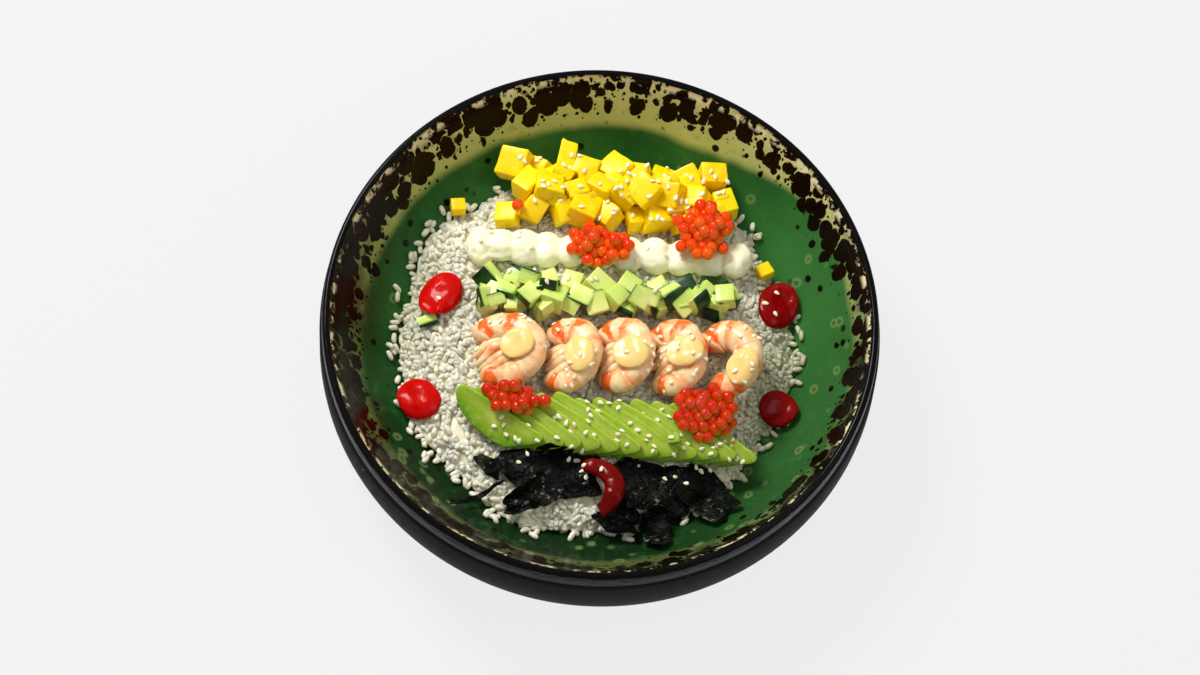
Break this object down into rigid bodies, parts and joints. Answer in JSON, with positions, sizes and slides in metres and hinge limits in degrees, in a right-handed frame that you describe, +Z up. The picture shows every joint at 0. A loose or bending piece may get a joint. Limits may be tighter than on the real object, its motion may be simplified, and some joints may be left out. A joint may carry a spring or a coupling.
{
  "type": "shrimp rice bowl",
  "caption": "Wide speckled green glazed bowl of rice with shrimps, avocado, cucumber, mango, cream cheese, roe, seaweed and chilli sauce.",
  "frame": {"origin": "centre of the foot ring on the table plane", "axes": "+Z up through the bowl's mouth, -Y to the side nearest the eater, +X to the eater's right"},
  "size_m": [0.2332, 0.2332, 0.052],
  "materials": {
    "glazed_stoneware": "mottled gloss glaze with a matte outside",
    "cooked_rice": "moist cooked rice",
    "mango_flesh": "wet ripe fruit",
    "cream_cheese": "soft fresh cheese",
    "cucumber": "wet flesh with dark peel",
    "cooked_shrimp": "moist cooked meat",
    "spicy_mayonnaise": "smooth glossy sauce",
    "avocado_flesh": "moist ripe flesh",
    "chilli_sauce": "thick wet sauce",
    "salmon_roe": "clear wet eggs",
    "nori": "crumpled dried seaweed"
  },
  "bodies": {
    "root": {"bowl": "glazed_stoneware", "rice": "cooked_rice", "shrimp_1": "cooked_shrimp", "shrimp_2": "cooked_shrimp", "shrimp_3": "cooked_shrimp", "shrimp_4": "cooked_shrimp", "shrimp_5": "cooked_shrimp", "cucumber": "cucumber", "cream_cheese": "cream_cheese", "mango": "mango_flesh", "avocado_01": "avocado_flesh", "avocado_02": "avocado_flesh", "avocado_03": "avocado_flesh", "avocado_04": "avocado_flesh", "avocado_05": "avocado_flesh", "avocado_06": "avocado_flesh", "avocado_07": "avocado_flesh", "avocado_08": "avocado_flesh", "avocado_09": "avocado_flesh", "avocado_10": "avocado_flesh", "avocado_11": "avocado_flesh", "avocado_12": "avocado_flesh", "mango_stray": "mango_flesh", "mango_chip": "mango_flesh", "avocado_chip": "avocado_flesh", "cucumber_chip": "cucumber", "dollop_1": "spicy_mayonnaise", "dollop_2": "spicy_mayonnaise", "dollop_3": "spicy_mayonnaise", "dollop_4": "spicy_mayonnaise", "dollop_5": "spicy_mayonnaise", "sauce_left_upper": "chilli_sauce", "sauce_left_lower": "chilli_sauce", "sauce_right_upper": "chilli_sauce", "sauce_right_lower": "chilli_sauce", "seaweed_1": "nori", "seaweed_2": "nori", "seaweed_3": "nori", "seaweed_4": "nori", "seaweed_5": "nori", "seaweed_6": "nori", "seaweed_7": "nori", "seaweed_8": "nori", "seaweed_9": "nori", "sauce_arc": "chilli_sauce", "roe_cream": "salmon_roe", "roe_mango": "salmon_roe", "roe_avocado_left": "salmon_roe", "roe_avocado_right": "salmon_roe", "roe_single": "salmon_roe"}
  },
  "joints": []
}
